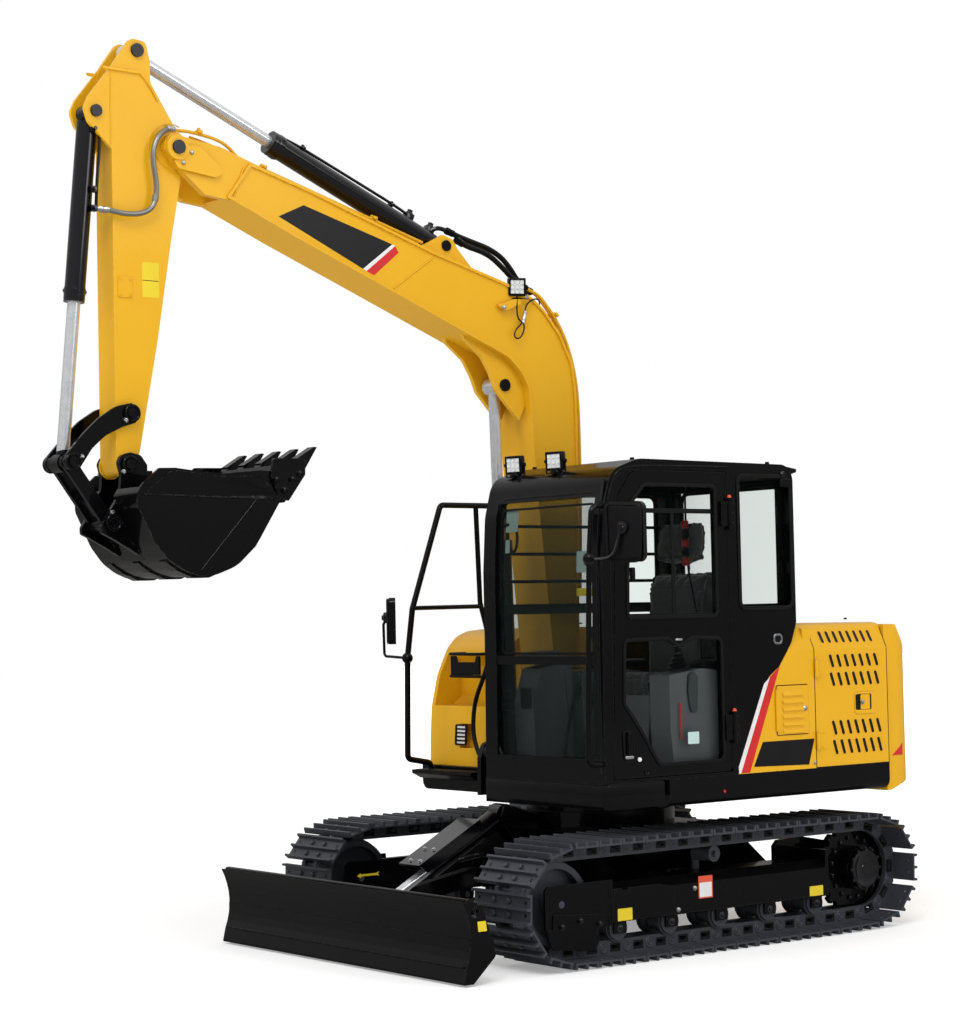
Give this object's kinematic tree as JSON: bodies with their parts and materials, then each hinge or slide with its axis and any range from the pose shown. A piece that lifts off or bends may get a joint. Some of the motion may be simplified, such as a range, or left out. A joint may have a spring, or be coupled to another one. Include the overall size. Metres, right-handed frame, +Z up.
{
  "type": "crawler excavator",
  "caption": "Compact crawler excavator with closed cab, bent boom, arm, toothed bucket, dozer blade and steel tracks.",
  "frame": {"origin": "on the ground plane, on the vertical swing axis midway between the tracks", "axes": "+X forward toward the blade and bucket, +Y to the machine's left where the cab stands, +Z up"},
  "size_m": [5.0625, 2.6722, 4.6708],
  "materials": {
    "yellow_paint": "gloss golden-yellow machine enamel",
    "black_paint": "satin black enamel",
    "track_steel": "dark blue-black coated steel",
    "rod_chrome": "hard chrome",
    "window_glass": "pale green tempered glass",
    "seat_fabric": "dark grey woven cloth",
    "cab_plastic": "grained dark grey plastic",
    "cast_engine": "dark cast iron"
  },
  "bodies": {
    "undercarriage": {"car_body": "black_paint", "swing_bearing": "black_paint", "track_left": "track_steel", "track_right": "track_steel", "track_frames": "black_paint", "track_rollers": "track_steel", "idlers": "track_steel", "sprockets": "black_paint"},
    "blade": {"blade_mouldboard": "black_paint", "blade_edge": "black_paint"},
    "blade_cylinder_barrel": {"blade_cylinder_barrel": "black_paint"},
    "blade_cylinder_rod": {"blade_cylinder_rod": "rod_chrome"},
    "upper": {"main_frame": "black_paint", "counterweight": "yellow_paint", "left_side_panel": "yellow_paint", "right_side_panel": "yellow_paint", "right_cover": "yellow_paint", "fuel_tank": "yellow_paint", "engine_block": "cast_engine", "firewall": "black_paint", "front_step": "black_paint", "cab_shell": "black_paint", "cab_glass": "window_glass", "seat_base": "cab_plastic", "seat_cushion": "seat_fabric", "seat_backrest": "seat_fabric", "consoles": "cab_plastic", "travel_levers": "black_paint", "work_lights": "black_paint", "joysticks": "cab_plastic", "left_rail": "black_paint", "right_rail": "black_paint"},
    "engine_hood": {"engine_hood": "yellow_paint"},
    "left_side_door": {"left_side_door": "yellow_paint"},
    "right_side_door": {"right_side_door": "yellow_paint"},
    "access_flap": {"access_flap": "yellow_paint"},
    "cab_door": {"cab_door": "black_paint", "door_glass": "window_glass"},
    "boom": {"boom": "yellow_paint", "boom_pins": "black_paint"},
    "boom_cylinder_barrel": {"boom_cylinder_barrel": "black_paint"},
    "boom_cylinder_rod": {"boom_cylinder_rod": "rod_chrome"},
    "arm_cylinder_barrel": {"arm_cylinder_barrel": "black_paint"},
    "arm_cylinder_rod": {"arm_cylinder_rod": "rod_chrome"},
    "arm": {"arm": "yellow_paint", "arm_pins": "black_paint"},
    "bucket_cylinder_barrel": {"bucket_cylinder_barrel": "black_paint"},
    "bucket_cylinder_rod": {"bucket_cylinder_rod": "rod_chrome"},
    "rockers": {"rockers": "black_paint"},
    "bucket_link": {"bucket_link": "black_paint"},
    "bucket": {"bucket_shell": "black_paint", "bucket_teeth": "black_paint", "side_cutters": "black_paint"}
  },
  "joints": [
    {"name": "swing", "type": "hinge", "parent": "undercarriage", "child": "upper", "pos_m": [0, 0, 0.76], "axis": [0, 0, 1], "continuous": true},
    {"name": "boom_lower", "type": "hinge", "parent": "upper", "child": "boom", "pos_m": [0.18, -0.16, 1.32], "axis": [0, 1, 0], "range_deg": [0, 95]},
    {"name": "arm_reach", "type": "hinge", "parent": "boom", "child": "arm", "pos_m": [2.63514, -0.16, 4.13735], "axis": [0, -1, 0], "range_deg": [-12, 105]},
    {"name": "bucket_open", "type": "hinge", "parent": "arm", "child": "bucket", "pos_m": [2.91214, -0.16, 2.54527], "axis": [0, -1, 0], "range_deg": [0, 140]},
    {"name": "blade_lower", "type": "hinge", "parent": "undercarriage", "child": "blade", "pos_m": [0.56, 0, 0.33], "axis": [0, 1, 0], "range_deg": [-20, 14]},
    {"name": "cab_door_swing", "type": "hinge", "parent": "upper", "child": "cab_door", "pos_m": [-0.032, 1.094, 1.7], "axis": [0, 0, 1], "range_deg": [0, 165]},
    {"name": "left_side_door_swing", "type": "hinge", "parent": "upper", "child": "left_side_door", "pos_m": [-0.654, 1.092, 1.3], "axis": [0, 0, 1], "range_deg": [-110, 0]},
    {"name": "access_flap_swing", "type": "hinge", "parent": "upper", "child": "access_flap", "pos_m": [-0.351, 1.0883, 1.23], "axis": [0, 0, 1], "range_deg": [-100, 0]},
    {"name": "hood_lift", "type": "hinge", "parent": "upper", "child": "engine_hood", "pos_m": [-0.56, 0, 1.698], "axis": [0, 1, 0], "range_deg": [0, 60]},
    {"name": "right_side_door_swing", "type": "hinge", "parent": "upper", "child": "right_side_door", "pos_m": [-0.654, -1.092, 1.3], "axis": [0, 0, 1], "range_deg": [0, 110]},
    {"name": "boom_barrel_swing", "type": "hinge", "parent": "upper", "child": "boom_cylinder_barrel", "pos_m": [0.5, -0.16, 1], "axis": [0, 1, 0], "range_deg": [-1, 97.9]},
    {"name": "boom_rod_slide", "type": "slide", "parent": "boom_cylinder_barrel", "child": "boom_cylinder_rod", "axis": [0.0246, 0, 0.9997], "range_m": [-0.67, 0.005]},
    {"name": "arm_barrel_swing", "type": "hinge", "parent": "boom", "child": "arm_cylinder_barrel", "pos_m": [0.92693, -0.16, 3.78752], "axis": [0, -1, 0], "range_deg": [-5.8, 1.5]},
    {"name": "arm_rod_slide", "type": "slide", "parent": "arm_cylinder_barrel", "child": "arm_cylinder_rod", "axis": [0.9166, 0, 0.3998], "range_m": [-0.808, 0.097]},
    {"name": "bucket_barrel_swing", "type": "hinge", "parent": "arm", "child": "bucket_cylinder_barrel", "pos_m": [3.05594, -0.16, 4.28568], "axis": [0, -1, 0], "range_deg": [-8.2, 1]},
    {"name": "bucket_rod_slide", "type": "slide", "parent": "bucket_cylinder_barrel", "child": "bucket_cylinder_rod", "axis": [0.0945, 0, -0.9955], "range_m": [-0.648, 0.005]},
    {"name": "rocker_swing", "type": "hinge", "parent": "arm", "child": "rockers", "pos_m": [2.89439, -0.16, 2.79898], "axis": [0, -1, 0], "range_deg": [-1, 110.1]},
    {"name": "link_swing", "type": "hinge", "parent": "rockers", "child": "bucket_link", "pos_m": [3.22051, -0.16, 2.55223], "axis": [0, -1, 0], "range_deg": [-73.4, 1]},
    {"name": "blade_barrel_swing", "type": "hinge", "parent": "undercarriage", "child": "blade_cylinder_barrel", "pos_m": [0.69, 0, 0.69], "axis": [0, 1, 0], "range_deg": [-20.3, 14.5]},
    {"name": "blade_rod_slide", "type": "slide", "parent": "blade_cylinder_barrel", "child": "blade_cylinder_rod", "axis": [0.8858, 0, -0.464], "range_m": [-0.137, 0.097]}
  ],
  "couplings": [
    {"joint": "boom_barrel_swing", "follows": "boom_lower", "ratio": 1.0199},
    {"joint": "boom_rod_slide", "follows": "boom_lower", "m_per_rad": -0.40107},
    {"joint": "arm_barrel_swing", "follows": "arm_reach", "ratio": -0.04546},
    {"joint": "arm_rod_slide", "follows": "arm_reach", "m_per_rad": -0.43801},
    {"joint": "bucket_barrel_swing", "follows": "bucket_open", "ratio": -0.0517},
    {"joint": "bucket_rod_slide", "follows": "bucket_open", "m_per_rad": -0.26307},
    {"joint": "rocker_swing", "follows": "bucket_open", "ratio": 0.77894},
    {"joint": "link_swing", "follows": "bucket_open", "ratio": -0.51725},
    {"joint": "blade_barrel_swing", "follows": "blade_lower", "ratio": 0.96521},
    {"joint": "blade_rod_slide", "follows": "blade_lower", "m_per_rad": 0.37695}
  ]
}
